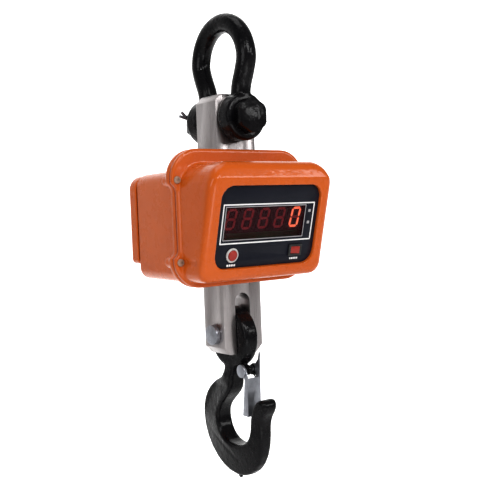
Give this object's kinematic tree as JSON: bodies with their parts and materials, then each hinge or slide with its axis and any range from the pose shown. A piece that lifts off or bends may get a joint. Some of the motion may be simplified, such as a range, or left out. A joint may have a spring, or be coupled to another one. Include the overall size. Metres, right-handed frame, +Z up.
{
  "type": "crane scale",
  "caption": "Hanging crane scale: steel load bar in an orange housing with a digital display, hung from a bow shackle, with a latched swing hook below.",
  "frame": {"origin": "bearing point at the top of the inside of the shackle bow, where a crane's hook lifts the scale", "axes": "+Z up along the line of load; the display faces -Y, so a reader looks along +Y; +X to the reader's right"},
  "size_m": [0.208, 0.2124, 0.6024],
  "materials": {
    "black_enamel": "gloss",
    "bar_steel": "satin",
    "zinc_plate": "satin",
    "orange_enamel": "gloss",
    "seal_rubber": "matt",
    "panel_film": "satin",
    "window_tint": "gloss",
    "led_block": "satin",
    "red_plastic": "gloss",
    "pale_plastic": "gloss",
    "black_plastic": "satin",
    "board_green": "satin",
    "battery_case": "matt"
  },
  "bodies": {
    "shackle": {"shackle_bow": "black_enamel", "shackle_pin": "black_enamel", "shackle_nut": "black_enamel", "shackle_cotter": "zinc_plate"},
    "hook": {"hook_body": "black_enamel", "latch_bolt": "zinc_plate", "latch_nut": "zinc_plate", "latch_spring": "black_enamel"},
    "latch": {"hook_latch": "zinc_plate"},
    "zero_button": {"zero_button": "red_plastic"},
    "switch_rocker": {"switch_rocker": "red_plastic"},
    "battery_door": {"battery_door": "orange_enamel", "door_gasket": "seal_rubber"},
    "fastener_left": {"door_fastener_left": "zinc_plate"},
    "fastener_right": {"door_fastener_right": "zinc_plate"},
    "scale_body": {"panel_plate": "panel_film", "display_window": "window_tint", "led_digit_1": "led_block", "led_digit_2": "led_block", "led_digit_3": "led_block", "led_digit_4": "led_block", "led_digit_5": "led_block", "display_board": "board_green", "zero_button_ring": "pale_plastic", "switch_bezel": "black_plastic", "load_bar": "bar_steel", "gauge_cover_left": "zinc_plate", "housing_bracket_left": "zinc_plate", "bracket_bolt_left": "zinc_plate", "gauge_cover_right": "zinc_plate", "housing_bracket_right": "zinc_plate", "bracket_bolt_right": "zinc_plate", "hook_pin": "bar_steel", "hook_pin_ring": "zinc_plate", "top_seal": "seal_rubber", "bottom_seal": "seal_rubber", "front_shell": "orange_enamel", "rear_shell": "orange_enamel", "shell_gasket": "seal_rubber", "shell_screw_1": "zinc_plate", "shell_screw_2": "zinc_plate", "shell_screw_3": "zinc_plate", "shell_screw_4": "zinc_plate", "door_hinge_pin": "zinc_plate", "main_board": "board_green", "radio_module": "zinc_plate", "battery_tray": "zinc_plate", "battery": "battery_case"}
  },
  "joints": [
    {"name": "scale_swing", "type": "hinge", "parent": "shackle", "child": "scale_body", "pos_m": [0, 0, -0.11], "axis": [0, 1, 0], "range_deg": [-90, 90]},
    {"name": "hook_swing", "type": "hinge", "parent": "scale_body", "child": "hook", "pos_m": [0, 0, -0.385], "axis": [1, 0, 0], "range_deg": [-60, 60]},
    {"name": "latch_pivot", "type": "hinge", "parent": "hook", "child": "latch", "pos_m": [0, -0.0287, -0.4315], "axis": [1, 0, 0], "range_deg": [0, 32], "stiffness_Nm_per_rad": 0.15, "springref_deg": -34.38, "deforming": ["latch_spring"]},
    {"name": "zero_press", "type": "slide", "parent": "scale_body", "child": "zero_button", "axis": [0, 0.9659, 0.2588], "range_m": [0, 0.0015], "stiffness_N_per_m": 500, "springref_m": -0.001},
    {"name": "switch_rock", "type": "hinge", "parent": "scale_body", "child": "switch_rocker", "pos_m": [0.0475, -0.07208, -0.27917], "axis": [0, -0.2588, 0.9659], "range_deg": [0, 16]},
    {"name": "door_hinge", "type": "hinge", "parent": "scale_body", "child": "battery_door", "pos_m": [0, 0.0875, -0.2966], "axis": [-1, 0, 0], "range_deg": [0, 95]},
    {"name": "fastener_left_turn", "type": "hinge", "parent": "battery_door", "child": "fastener_left", "pos_m": [-0.074, 0.1, -0.196], "axis": [0, 1, 0], "range_deg": [0, 90]},
    {"name": "fastener_right_turn", "type": "hinge", "parent": "battery_door", "child": "fastener_right", "pos_m": [0.074, 0.1, -0.196], "axis": [0, 1, 0], "range_deg": [0, 90]}
  ]
}
